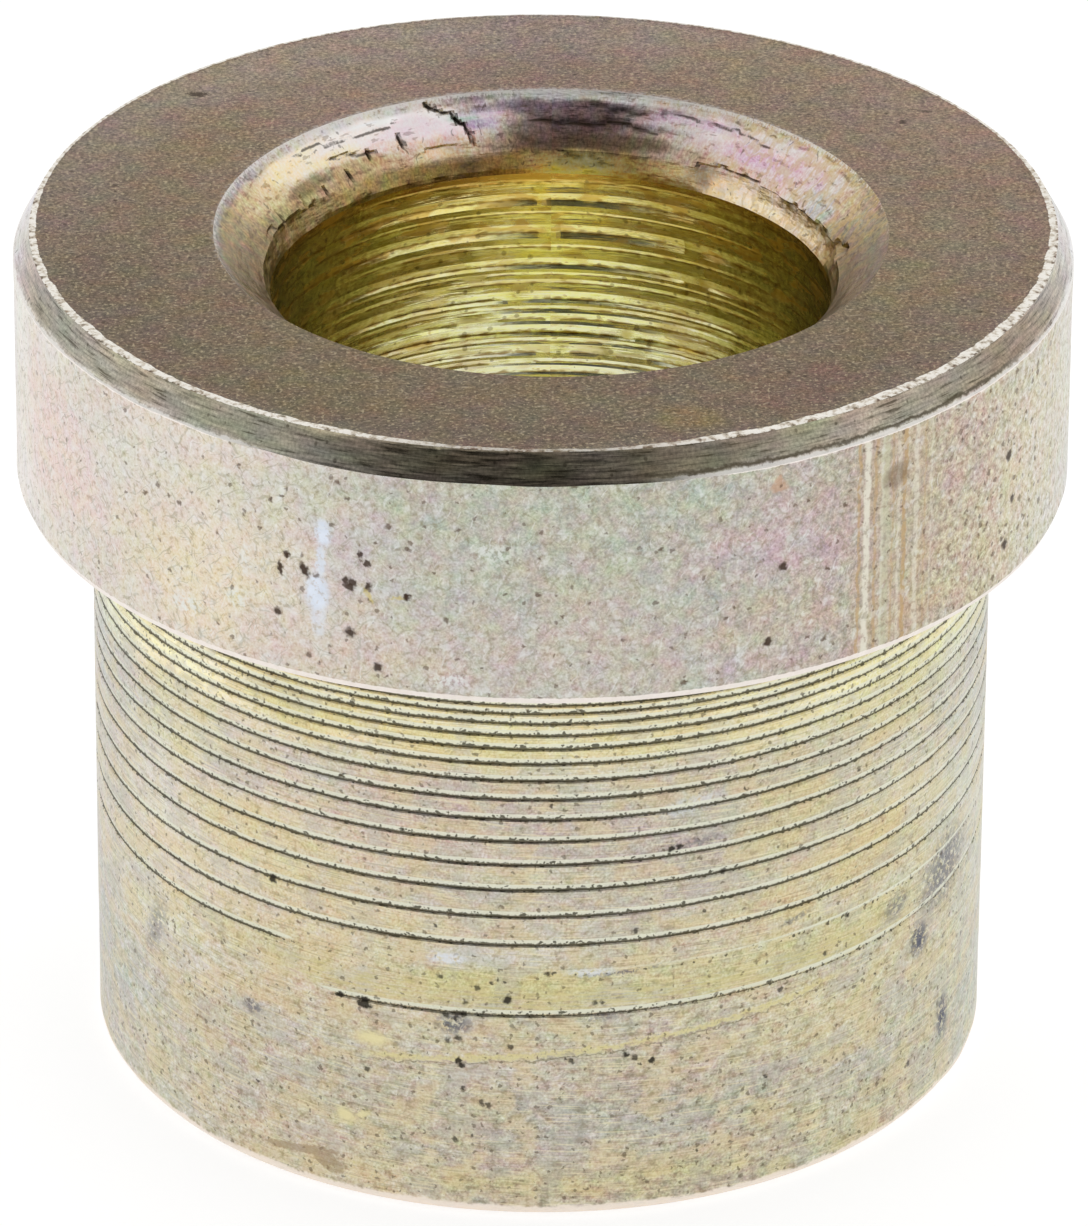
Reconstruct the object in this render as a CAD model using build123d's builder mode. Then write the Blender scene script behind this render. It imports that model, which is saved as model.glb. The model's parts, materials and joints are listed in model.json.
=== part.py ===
from build123d import *
import os

# A turned steel bushing: a thick collar on top of a plain shank, with a countersunk bore right through.
# It stands on its bottom face at z = 0, its outside turns about the Z axis, and sizes are millimetres.

# --- Outside -----------------------------------------------------------------------------------
overall_length = 23.3
collar_diameter = 28.0
collar_thickness = 7.0
shank_diameter = 24.0

# Bevels are given as (how far they reach in from the wall, how far they run along it).
top_bevel_width = 0.45
top_bevel_height = 0.78
shoulder_bevel_width = 0.10
shoulder_bevel_height = 0.24
bottom_bevel_width = 0.23
bottom_bevel_height = 0.26

# --- Bore --------------------------------------------------------------------------------------
bore_diameter = 14.8
bore_shift_x = 0.20
bore_shift_y = -0.31
countersink_diameter = 17.8
countersink_depth = 1.25
ledge_diameter = 15.14
ledge_depth = 0.45
foot_chamfer = 0.4

# --- Turned grooves on the shank ---------------------------------------------------------------
# Each groove is a shallow V: a long flank that falls inwards, then a short one that comes out again.
# The steps between the grooves widen evenly from the collar downwards.
first_groove_drop = 1.07
grooved_length = 8.3
first_groove_step = 0.25
groove_step_growth = 0.049
groove_depth = 0.05
groove_fall = 0.14
groove_rise = 0.05

collar_radius = collar_diameter / 2
shank_radius = shank_diameter / 2
bore_radius = bore_diameter / 2
countersink_radius = countersink_diameter / 2
ledge_radius = ledge_diameter / 2
shoulder_height = overall_length - collar_thickness
ledge_top = overall_length - countersink_depth
bore_top = ledge_top - ledge_depth


def spaced_grooves():
    """Give the height of each groove's deepest line, from the collar down."""
    heights = []
    drop = first_groove_drop
    step = first_groove_step
    while drop < grooved_length:
        heights.append(shoulder_height - drop)
        drop += step
        step += groove_step_growth
    return heights


with BuildPart() as bushing:
    # The half section of the outside, from the axis out, with the grooves cut from its wall.
    with BuildSketch(Plane.XZ):
        with BuildLine():
            Polyline(
                (0, 0),
                (shank_radius - bottom_bevel_width, 0),
                (shank_radius, bottom_bevel_height),
                (shank_radius, shoulder_height),
                (collar_radius - shoulder_bevel_width, shoulder_height),
                (collar_radius, shoulder_height + shoulder_bevel_height),
                (collar_radius, overall_length - top_bevel_height),
                (collar_radius - top_bevel_width, overall_length),
                (0, overall_length),
                close=True,
            )
        make_face()
        for groove_height in spaced_grooves():
            with BuildLine():
                Polyline(
                    (shank_radius, groove_height + groove_fall),
                    (shank_radius - groove_depth, groove_height),
                    (shank_radius, groove_height - groove_rise),
                    close=True,
                )
            make_face(mode=Mode.SUBTRACT)
    revolve(axis=Axis.Z)

    # The bore runs a little off the outside's centre, and its countersink and ledge share its axis.
    bore_axis = Axis((bore_shift_x, bore_shift_y, 0), (0, 0, 1))
    with BuildSketch(Plane(bore_axis.position, x_dir=(1, 0, 0), z_dir=(0, -1, 0))):
        with BuildLine():
            Polyline(
                (0, 0),
                (bore_radius + foot_chamfer, 0),
                (bore_radius, foot_chamfer),
                (bore_radius, bore_top),
                (ledge_radius, ledge_top),
                (countersink_radius, overall_length),
                (0, overall_length),
                close=True,
            )
        make_face()
    revolve(axis=bore_axis, mode=Mode.SUBTRACT)

bushing.part.label = "bushing"
os.makedirs("parts", exist_ok=True)
export_step(bushing.part, "parts/bushing.step")
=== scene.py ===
import functools
import json
import math

import bmesh
import bpy
import numpy as np
from mathutils import Matrix, Vector


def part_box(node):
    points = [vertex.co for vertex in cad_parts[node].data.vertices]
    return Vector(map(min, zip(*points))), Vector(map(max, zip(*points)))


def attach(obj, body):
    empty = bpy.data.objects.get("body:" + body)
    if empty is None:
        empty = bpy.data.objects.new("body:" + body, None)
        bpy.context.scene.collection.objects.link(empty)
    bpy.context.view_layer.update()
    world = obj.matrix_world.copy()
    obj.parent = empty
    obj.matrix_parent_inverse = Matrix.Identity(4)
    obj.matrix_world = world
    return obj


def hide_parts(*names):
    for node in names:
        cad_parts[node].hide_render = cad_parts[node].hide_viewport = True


# The looks of a worn, turned steel bushing with yellow zinc plating.
#
# The skin is built in millimetres round the outside's axis and scaled to metres when its mesh is made.
# An angle is in degrees from the front (-Y), positive to the right (+X), and 180 is the back.
# "Along" is the distance in mm along the turned profile: up the bore, over the countersink and the
# top face, down the outside and back under the foot.

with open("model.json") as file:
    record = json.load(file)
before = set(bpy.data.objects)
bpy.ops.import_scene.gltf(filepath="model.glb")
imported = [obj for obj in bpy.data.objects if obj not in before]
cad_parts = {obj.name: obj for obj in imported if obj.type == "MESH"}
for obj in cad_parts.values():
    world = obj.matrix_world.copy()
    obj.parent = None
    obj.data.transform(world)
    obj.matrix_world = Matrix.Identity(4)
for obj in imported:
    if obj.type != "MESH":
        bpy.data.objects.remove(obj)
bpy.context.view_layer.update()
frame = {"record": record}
MM = 0.001

# Sizes taken from the frame, in mm
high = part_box("bushing")[1]
mounts = {mount["name"]: mount for mount in frame["record"]["mounts"]}
LENGTH = high.z / MM
COLLAR = min(high.x, high.y) / MM
SHANK = mounts["shank"]["dims"]["r_mm"]
SEAT = mounts["collar_seat"]["pos_m"][2] / MM
BORE = mounts["bore"]["dims"]["r_mm"]
BORE_AXIS = (mounts["bore"]["pos_m"][0] / MM, mounts["bore"]["pos_m"][1] / MM)
OUTSIDE_AXIS = (0, 0)

# Edges, as the solid has them
TOP_BEVEL = (0.45, 0.78)
SEAT_BEVEL = (0.10, 0.24)
FOOT_BEVEL = (0.23, 0.26)
FOOT_CHAMFER = 0.4
COUNTERSINK = 8.9
COUNTERSINK_DEPTH = 1.25
LEDGE = 7.57
LEDGE_DEPTH = 0.45
# How far the top face lies under the burr on its edge, and how wide the burr's zone is
FACE_DROP = 0.03
BURR_ROOM = 0.62

# Turned grooves: one right-handed spiral whose step widens on the way down
FIRST_DROP = 1.14
FIRST_STEP = 0.252
STEP_GROWTH = 0.05
GROOVE_DEPTH = 0.05
GROOVE_FALL = 0.19
GROOVE_RISE = 0.05
# The most of a step that the upper flank and the lower flank take
FALL_SHARE = 0.58
RISE_SHARE = 0.2
HIDDEN_TURNS = 2
SPIRAL_END = 4.4
ROWS_A_TURN = 4
FIRST_TURN = -HIDDEN_TURNS - 1.2
LAST_TURN = 17.2

# Ledges that the boring tool left: height of each lit flank and how tall the flank is
BORE_LEDGES = {
    21.26: 0.08, 20.77: 0.24, 20.32: 0.08, 19.82: 0.26, 19.32: 0.10, 18.82: 0.24, 18.48: 0.09, 18.24: 0.13,
    17.80: 0.29, 17.46: 0.13, 17.20: 0.20, 16.80: 0.30, 16.50: 0.13, 16.22: 0.28, 15.88: 0.13, 15.60: 0.24,
    15.22: 0.18, 14.82: 0.24,
}
LEDGE_SLOPE = 0.40
FINE_BORE_END = 14.4

# Torn layers of the lip: start and end angle, height at each end, thickness
LIP_SHEETS = [
    (-166, -148, 22.30, 22.22, 0.10),
    (-150, -128, 22.42, 22.62, 0.10),
    (-129, -100, 22.05, 22.20, 0.08),
    (-156, -120, 22.93, 22.98, 0.05),
    (96, 152, 22.16, 22.10, 0.17),
    (128, 176, 22.92, 22.98, 0.05),
    (152, 190, 22.62, 22.66, 0.05),
]
# Tears in the lip: angle, height, half width, half height, lean in degrees, depth
LIP_TEARS = [
    (-150, 22.50, 0.07, 0.20, 12, 0.14),
    (-142.5, 22.38, 0.06, 0.16, 10, 0.12),
    (-136, 22.16, 0.06, 0.14, -14, 0.12),
    (-128, 22.10, 0.06, 0.14, -18, 0.12),
    (-121, 22.12, 0.07, 0.16, -18, 0.13),
    (-112, 22.20, 0.06, 0.18, -10, 0.12),
    (-157.2, 23.12, 0.06, 0.15, 20, 0.12),
    (-158.5, 22.99, 0.05, 0.19, 68, 0.13),
    (-160.2, 22.91, 0.05, 0.18, 76, 0.13),
    (-161.7, 22.80, 0.06, 0.16, 28, 0.14),
    (-162.6, 22.67, 0.05, 0.15, 54, 0.14),
    (-163.6, 22.54, 0.06, 0.19, 18, 0.15),
    (-164.3, 22.32, 0.07, 0.18, 6, 0.15),
    (97.5, 22.18, 0.26, 0.16, 0, 0.20),
]

# How light the worn rim of the lip is: angles, and the share at each
RIM_LIGHT = (
    (-180, -150, -110, -75, -45, -20, 60, 100, 130, 160),
    (0.9, 0.9, 0.75, 0.7, 0.5, 0, 0, 0.3, 0.8, 0.9),
)
# How wide the rolled burr on the top face's edge is: angles, and mm at each
BURR_WIDTH = (
    (-150, -110, -85, -60, -20, -8, 8, 17, 60, 90, 115, 180),
    (0.08, 0.10, 0.22, 0.28, 0.25, 0.15, 0.15, 0.31, 0.34, 0.24, 0.10, 0.08),
)

# Points in a ring, and how near two points lie, in mm, when they are joined to one
COLUMNS = 360
FINE = 2 * COLUMNS
COARSE = COLUMNS // 2
WELD = 0.0008
# The very first ring, at the foot of the bore, where the skin closes
HOLE = (0, COARSE)
# What is painted on the points, the map that the materials read, and the zones of the skin
PAINTED = ("line", "flank", "bright", "round", "along")
ROLLED = "RolledOut"
ZONES = ("collar", "shank", "face", "bevel", "lip", "bore", "foot")
# Faces of a zone that meet at more than this angle, in degrees, meet at a crisp edge
CRISP = {"collar": 26, "shank": 10, "face": 26, "bevel": 26, "lip": 22, "bore": 9, "foot": 26}


# Curves and noise
def smooth(start, end, value):
    """A soft step from 0 at start to 1 at end."""
    share = np.clip((value - start) / (end - start), 0, 1)
    return share * share * (3 - 2 * share)


def angles(columns):
    """The angle of each column of a ring."""
    return -180 + 360 * np.arange(columns) / columns


def uneven(angle, along, cells_round, seed, cell=1, soft=True):
    """Noise from -1 to 1 that closes on itself: cells_round cells in a turn, each cell mm along."""
    rows = 400
    table = np.random.RandomState(seed).uniform(-1, 1, (rows, cells_round))
    x = np.asarray(angle) / 360 % 1 * cells_round
    y = np.asarray(along, float) / cell + 150
    column, row = np.floor(x).astype(int), np.floor(y).astype(int)

    def cell_value(right, up):
        return table[(row + up) % rows, (column + right) % cells_round]

    if not soft:
        return cell_value(0, 0)
    fx, fy = smooth(0, 1, x - column), smooth(0, 1, y - row)
    near = cell_value(0, 0) * (1 - fx) + cell_value(1, 0) * fx
    far = cell_value(0, 1) * (1 - fx) + cell_value(1, 1) * fx
    return near * (1 - fy) + far * fy


def apart(angle, other):
    """The signed difference of two angles, from -180 to 180."""
    return (np.asarray(angle) - other + 180) % 360 - 180


# The profile's corners: radius and height
CORNERS = {
    "bore_foot": (BORE, FOOT_CHAMFER),
    "bore_top": (BORE, LENGTH - COUNTERSINK_DEPTH - LEDGE_DEPTH),
    "ledge": (LEDGE, LENGTH - COUNTERSINK_DEPTH),
    "rim": (COUNTERSINK, LENGTH),
    "top_edge": (COLLAR - TOP_BEVEL[0], LENGTH),
    "bevel_end": (COLLAR, LENGTH - TOP_BEVEL[1]),
    "collar_end": (COLLAR, SEAT + SEAT_BEVEL[1]),
    "seat_edge": (COLLAR - SEAT_BEVEL[0], SEAT),
    "seat": (SHANK, SEAT),
    "foot": (SHANK, FOOT_BEVEL[1]),
    "foot_edge": (SHANK - FOOT_BEVEL[0], 0),
    "hole_foot": (BORE + FOOT_CHAMFER, 0),
}
# How far along the profile each corner lies, and the whole way round it
ALONG = {}
for before, corner in zip([None, *CORNERS], CORNERS):
    ALONG[corner] = ALONG[before] + math.dist(CORNERS[before], CORNERS[corner]) if before else 0
PROFILE_LENGTH = ALONG["hole_foot"] + math.dist(CORNERS["hole_foot"], CORNERS["bore_foot"])


# The skin
class Skin:
    """Rings of points round an axis, in mm, the faces between them, and what is painted on the points."""

    def __init__(self):
        self.points = []
        self.paint = {name: [] for name in PAINTED}
        self.faces = []
        self.zones = []
        self.count = 0

    def ring(self, radius, height, along, columns=COLUMNS, centre=OUTSIDE_AXIS, **painted):
        """Adds one closed ring and returns its first point's number and its number of columns."""
        angle = angles(columns)
        turn = np.radians(angle)
        radius = np.broadcast_to(radius, columns)
        x = centre[0] + radius * np.sin(turn)
        y = centre[1] - radius * np.cos(turn)
        self.points.append(np.stack([x, y, np.broadcast_to(height, columns)], 1))
        painted["round"] = (angle + 180) / 360
        painted["along"] = np.asarray(along) / PROFILE_LENGTH
        for name in PAINTED:
            self.paint[name].append(np.broadcast_to(painted.get(name, 0), columns))
        start = self.count
        self.count += columns
        return start, columns

    def bridge(self, first, second, zone):
        """Joins two rings by quads, or by three triangles a column where one has twice the columns."""
        (few, count), (many, most) = sorted((first, second), key=lambda ring: ring[1])
        for i in range(count):
            j = (i + 1) % count
            if most == count:
                faces = [(few + i, few + j, many + j, many + i)]
            else:
                a, b, middle = few + i, few + j, many + 2 * i + 1
                faces = [(a, b, middle), (a, middle, middle - 1), (b, many + 2 * j, middle)]
            self.add(faces, zone)

    def add(self, faces, zone):
        """Adds faces in one zone."""
        self.faces += faces
        self.zones += [zone] * len(faces)

    def chain(self, rings):
        """Bridges each ring from the one before it, in the zone that comes with the ring."""
        before = None
        for zone, ring in rings:
            if before:
                self.bridge(before, ring, zone)
            before = ring


def steps(start, end, shares):
    """Share, radius, height and along at shares of the way between two corners."""
    (r0, z0), (r1, z1) = CORNERS[start], CORNERS[end]
    s0, s1 = ALONG[start], ALONG[end]
    for share in shares:
        yield share, r0 + (r1 - r0) * share, z0 + (z1 - z0) * share, s0 + (s1 - s0) * share


def shifted(share):
    """The centre of a ring at a share of the way from the bore's axis to the outside's."""
    return tuple(bore + (outside - bore) * share for bore, outside in zip(BORE_AXIS, OUTSIDE_AXIS))


def evenly(count):
    return np.linspace(0, 1, count + 1)[1:]


# Bore
def bore_rows():
    """Heights from the foot up, the share of a ledge's saw tooth there (1 is its foot), and the ledge."""
    rows = []
    upper = CORNERS["bore_top"][1]
    for height, flank in BORE_LEDGES.items():
        top, foot = height + flank / 2, height - flank / 2
        rows += [(0.5 * (upper + top), 0.45, height), (top, 0, height), (foot, 1, height)]
        upper = foot
    rows.sort()
    return rows


def bore_rings(skin):
    """The torn ledges of the boring tool. They only cut outwards, so that the shaft still passes."""
    foot_height = CORNERS["bore_foot"][1]
    angle = angles(COARSE)
    for height in np.linspace(foot_height, FINE_BORE_END, 24):
        cut = 0.03 + 0.03 * uneven(angle, height, 12, 20, 0.8)
        cut = cut * smooth(foot_height, foot_height + 0.5, height)
        yield "bore", skin.ring(BORE + cut, height, height - foot_height, COARSE, BORE_AXIS)
    angle = angles(COLUMNS)
    for height, share, ledge in bore_rows():
        strength = 0.75 + 0.25 * uneven(angle, ledge * 9, 10, 21)
        strength = strength * (1 - 0.75 * smooth(0.5, 0.85, np.abs(np.sin(np.radians(angle)))))
        broken = uneven(angle, ledge * 9, 44, 22) + 0.35 * uneven(angle, ledge * 9, 150, 26)
        broken = 0.4 + 0.6 * smooth(-0.9, -0.45, broken)
        cut = 0.008 + LEDGE_SLOPE * BORE_LEDGES[ledge] * share * strength * broken
        cut = cut + 0.008 * (1 + uneven(angle, height, 120, 23, 0.12))
        sway = 0.05 * uneven(angle, 0, 6, 24) + 0.02 * uneven(angle, ledge * 9, 16, 25)
        sway = sway * smooth(CORNERS["bore_top"][1], CORNERS["bore_top"][1] - 0.5, height)
        line = share * broken if share == 1 else 0
        level = height + sway
        yield "bore", skin.ring(BORE + cut, level, level - foot_height, COLUMNS, BORE_AXIS, line=line)


# Lip
def lip_relief(angle, height):
    """How far the torn lip lies behind its cone at each angle for one height, and how much painted shadow
    lies there: under each torn sheet's edge and in each tear.
    """
    back = np.zeros_like(angle)
    dark = np.zeros_like(angle)
    for number, (start, end, level_start, level_end, thickness) in enumerate(LIP_SHEETS):
        middle, half = (start + end) / 2, (end - start) / 2
        offset = apart(angle, middle)
        inside = smooth(half, half - 8, np.abs(offset))
        edge = level_start + (level_end - level_start) * (offset + half) / (2 * half)
        edge = edge + 0.07 * uneven(angle, number, 70, 31, soft=False)
        edge = edge + 0.03 * uneven(angle, number, 180, 32)
        below = smooth(edge + 0.05, edge - 0.05, height)
        healed = smooth(edge - 0.9, edge - 0.3, height)
        back += thickness * below * healed * inside
        dark = np.maximum(dark, inside * np.exp(-(((height - edge + 0.05) / 0.05) ** 2)))
    for at, level, half_width, half_height, lean, depth in LIP_TEARS:
        across = np.radians(apart(angle, at)) * BORE * 1.1
        up = height - level
        slant = math.radians(lean)
        x = (across * math.cos(slant) - up * math.sin(slant)) / half_width
        y = (across * math.sin(slant) + up * math.cos(slant)) / half_height
        hole = smooth(1.3, 0.5, np.sqrt(x * x + y * y))
        back += depth * hole
        dark = np.maximum(dark, hole)
    return back, dark


def lip_rings(skin):
    angle = angles(FINE)
    ledge = steps("bore_top", "ledge", (0, 0.25, 0.5, 0.75, 1))
    for _, radius, height, along in (*ledge, *steps("ledge", "rim", evenly(19))):
        back, dark = lip_relief(angle, height)
        waves = 0.012 * uneven(angle, height, 90, 33, 0.16) + 0.02 * uneven(angle, height, 26, 34, 0.3)
        ease = smooth(0, 0.15, LENGTH - height)
        sink = FACE_DROP * smooth(LENGTH - 0.3, LENGTH, height)
        radius = radius + (back + 0.02 + waves) * ease
        bright = smooth(LENGTH - 0.16, LENGTH - 0.02, height) * np.interp(angle, *RIM_LIGHT, period=360)
        yield "lip", skin.ring(radius, height - sink, along, FINE, BORE_AXIS, line=dark, bright=bright)


# Top face and bevel
def face_rings(skin):
    outer = CORNERS["top_edge"][0] - BURR_ROOM
    for share in evenly(8):
        radius = COUNTERSINK + (outer - COUNTERSINK) * share
        columns = COLUMNS if share < 1 else FINE
        dip = 0.006 * (1 + uneven(angles(columns), radius, 14, 41, 1.2))
        along = ALONG["rim"] + radius - COUNTERSINK
        yield "face", skin.ring(radius, LENGTH - FACE_DROP - dip, along, columns, shifted(share))


def bevel_rings(skin):
    """The ragged burr on the top face's edge, then the bevel with its turning marks."""
    angle = angles(FINE)
    edge, top = CORNERS["top_edge"]
    ragged = uneven(angle, 0, 150, 51) + 0.6 * uneven(angle, 0, 300, 52)
    broad = uneven(angle, 0, 17, 53)
    burr = FACE_DROP * np.clip(0.72 + 0.3 * broad + 0.22 * ragged, 0.15, 1)
    width = np.interp(angle, *BURR_WIDTH, period=360) * (1 + 0.12 * ragged + 0.06 * broad)
    # The burr's rings carry bright for a painted highlight on the rolled edge, partly wear, which the top
    # face lays in cream.
    for inset, rise, bright in ((1, 0.1, 0.1), (0.78, 0.8, 1), (0.3, 1, 1), (-0.06, 0.4, 0.8)):
        radius = edge - inset * width
        along = ALONG["top_edge"] - inset * width
        yield "face", skin.ring(radius, top - FACE_DROP + burr * rise, along, FINE, bright=bright)
    for share, radius, height, along in steps("top_edge", "bevel_end", evenly(8)):
        cut = 0.012 * (1 + uneven(angle, share * 9, 16, 54)) * smooth(1, 0.8, share)
        nicks = 0.02 * smooth(0.55, 0.9, uneven(angle, share * 9, 130, 55)) * smooth(1, 0.8, share)
        sag = 0.03 * uneven(angle, 0, 60, 56) * smooth(0.7, 1, share)
        # bright marks the corner below the bevel for a painted highlight, which the collar lays on its first
        # row; it is left out at the front, where the bevel is dark
        bright = smooth(0.82, 1, share) * (1 - smooth(-40, -26, angle) * smooth(22, 13, angle))
        yield "bevel", skin.ring(radius - cut - nicks, height + sag, along, FINE, bright=bright)


# Collar
def collar_rings(skin):
    angle = angles(FINE)
    for share, radius, height, along in steps("bevel_end", "collar_end", (0.02, *evenly(9))):
        ease = smooth(0, 0.12, share) * smooth(1, 0.88, share)
        cut = 0.012 * (1 + uneven(angle, height, 22, 61, 2.4)) * ease
        scrape = smooth(35, 36.2, angle) * smooth(46, 44.5, angle)
        cut = cut + 0.02 * scrape * smooth(-0.2, 0.6, uneven(angle, 0, 400, 62)) * ease
        sag = 0.03 * uneven(angle, 0, 70, 63) * smooth(0.9, 1, share)
        yield "collar", skin.ring(radius - cut, height + sag, along, FINE)
    # the seat bevel faces down to the floor, and bright marks it for a painted highlight
    for _, *place in steps("collar_end", "seat_edge", (0.4, 0.8, 1)):
        yield "collar", skin.ring(*place, bright=1)
    for _, *place in steps("seat_edge", "seat", (0.3, 0.65, 1)):
        yield "collar", skin.ring(*place)


# Shank
def drop_of(turn):
    """How far below the collar the spiral lies after so many turns. It runs out fast above the first."""
    grown = np.maximum(turn, -HIDDEN_TURNS)
    drop = FIRST_DROP + FIRST_STEP * grown + STEP_GROWTH * grown * (grown - 1) / 2
    return drop + np.minimum(turn + HIDDEN_TURNS, 0)


def groove_strength(angle, turn):
    """Full on the clear turns, then a faint stretch, then a clear line one turn further down."""
    patches = smooth(-0.5, 0.3, uneven(angle, np.floor(turn) * 3, 13, 71))
    clear = smooth(13.60, 13.35, turn)
    faint = 0.55 * smooth(13.35, 13.60, turn) * smooth(13.80, 13.785, turn) * (0.5 + 0.5 * patches)
    weight = 0.58 + 0.2 * patches + 0.2 * smooth(14.73, 14.79, turn) + 0.25 * smooth(14.2, 14.1, turn)
    second = smooth(13.885, 13.90, turn) * smooth(14.885, 14.87, turn) * weight
    right = 1 - 0.14 * smooth(28, 52, angle) * smooth(120, 95, angle)
    return smooth(-HIDDEN_TURNS, -HIDDEN_TURNS + 1, turn) * (clear + faint + second) * right


def level_part(angle, turn):
    """How far the last clear line sags in front, where it runs level."""
    return 0.26 * smooth(100, 50, np.abs(angle)) * smooth(14.1, 14.5, turn) * smooth(15.5, 15.1, turn)


def spiral_rows(angle, turn):
    """Height, radius, line and flank of the rows of one groove, from its upper edge to the land below."""
    line = SEAT - drop_of(turn) - level_part(angle, turn)
    step = drop_of(turn + 1) - drop_of(turn)
    next_step = drop_of(turn + 2) - drop_of(turn + 1)
    fall = np.minimum(GROOVE_FALL, FALL_SHARE * step)
    rise = np.minimum(GROOVE_RISE, RISE_SHARE * step)
    next_fall = np.minimum(GROOVE_FALL, FALL_SHARE * next_step)
    strength = groove_strength(angle, turn)
    wobble = 0.008 * uneven(angle, np.floor(turn) * 3, 200, 72) * np.clip((step - 0.15) / 0.15, 0, 1)
    wear = 0.8 + 0.2 * uneven(angle, np.floor(turn) * 3, 60, 73)
    depth = GROOVE_DEPTH * strength * wear * np.minimum(1, step / FIRST_STEP)
    land = -(rise + (step - next_fall)) / 2
    rows = ((fall, 0, 0, strength), (wobble, 1, strength, 0), (wobble - rise, 0, 0, 0), (land, 0, 0, 0))
    for offset, cut, dark, flank in rows:
        height = line + offset
        inside = (height < SEAT) & (height > SPIRAL_END)
        height = np.clip(height, SPIRAL_END, SEAT)
        yield height, SHANK - depth * cut * inside, dark * inside, flank * inside


def spiral(skin):
    """Rows that follow the spiral, so that the end of each meets the start of the next turn's."""
    angle = angles(COLUMNS)
    start = skin.count
    count = 0
    for number in range(math.ceil(LAST_TURN - FIRST_TURN) + 1):
        turn = FIRST_TURN + number - angle / 360
        for height, radius, dark, flank in spiral_rows(angle, turn):
            skin.ring(radius, height, ALONG["seat"] + SEAT - height, line=dark, flank=flank)
            count += 1
    for row in range(count - 1):
        for i in range(COLUMNS - 1):
            a = start + row * COLUMNS + i
            skin.add([(a, a + 1, a + COLUMNS + 1, a + COLUMNS)], "shank")
        if row >= ROWS_A_TURN:
            a = start + row * COLUMNS + COLUMNS - 1
            b = start + (row - ROWS_A_TURN) * COLUMNS
            skin.add([(a, b, b + COLUMNS, a + COLUMNS)], "shank")


def foot_rings(skin):
    angle = angles(COLUMNS)
    end = CORNERS["foot"][1]
    for height in np.linspace(SPIRAL_END, end, 19):
        share = smooth(end + 0.5, end, height)
        ragged = share * (0.05 * uneven(angle, 0, 46, 81) + 0.03 * uneven(angle, 0, 120, 82))
        ease = smooth(SPIRAL_END, SPIRAL_END - 0.4, height)
        cut = 0.006 * (1 + uneven(angle, height, 30, 83, 0.5)) * ease
        level = height + np.maximum(ragged, -0.05)
        # the lower edge and the foot bevel below it face down to the floor, and bright marks them for a
        # painted highlight, partly wear
        edge_wear_and_highlight = 0.8 if height == end else 0
        yield "shank", skin.ring(SHANK - cut, level, ALONG["seat"] + SEAT - level, bright=edge_wear_and_highlight)
    for _, *place in steps("foot", "foot_edge", (0.33, 0.66, 1)):
        yield "shank", skin.ring(*place, bright=1)
    for share, radius, _, along in steps("foot_edge", "hole_foot", (0.25, 0.5, 0.75, 1)):
        yield "foot", skin.ring(radius, 0, along, COARSE, shifted(1 - share))
    yield "foot", HOLE


# Tones: broad colours on the corners of the faces. The materials lay their detail over them.
def linear(colour):
    """A colour as it is seen, 0xRRGGBB, in the linear light that the shader takes."""
    return [((part / 255 + 0.055) / 1.055) ** 2.4 for part in colour.to_bytes(3, "big")]


def by_angle(angle, rows):
    """A colour that drifts round the part. A row is an angle and a colour."""
    places = [row[0] for row in rows]
    colours = np.array([linear(row[1]) for row in rows])
    return np.stack([np.interp(angle, places, colours[:, i], period=360) for i in range(3)], -1)


def even_tones(angle, colours):
    """A tone for each colour, the same at every point."""
    return [np.tile(linear(colour), (len(angle), 1)) for colour in colours]


def laid(tone, share, colour):
    """Lays a colour over a tone by a share that differs from point to point."""
    return tone + (np.array(linear(colour)) - tone) * np.asarray(share)[:, None]


def ellipse(angle, height, radius, at, level, half_width, half_height):
    """1 inside a soft ragged ellipse on the skin and 0 outside it."""
    x = np.radians(apart(angle, at)) * radius / half_width
    y = (height - level) / half_height
    ragged = 1 + 0.35 * uneven(angle, height, 70, 300 + int(at) % 50, 0.6)
    return smooth(1.35, 0.65, np.hypot(x, y) * ragged)


def with_patches(tone, angle, height, radius, rows):
    """A row is angle, height, half width, half height, share and colour."""
    for *place, share, colour in rows:
        tone = laid(tone, share * ellipse(angle, height, radius, *place), colour)
    return tone


def drifted(tone, angle, height, seed, cells, size, amount):
    """Lightens, darkens, reddens and greens a tone a little in broad soft patches."""
    shade = uneven(angle, height, cells, seed, size)[:, None]
    warmth = uneven(angle, height, cells, seed + 1, size)[:, None]
    green = uneven(angle, height, cells, seed + 2, size)[:, None]
    change = shade + warmth * np.array((0.5, 0, -0.9)) + green * np.array((-0.3, 0.4, -0.2))
    return tone * (1 + amount * change)


def by_level(height, levels, tones):
    """Blends tones from one height to the next. The levels rise."""
    total = tones[0]
    for level_below, level, tone in zip(levels, levels[1:], tones[1:]):
        total = total + (tone - total) * smooth(level_below, level, height)[:, None]
    return total
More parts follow.
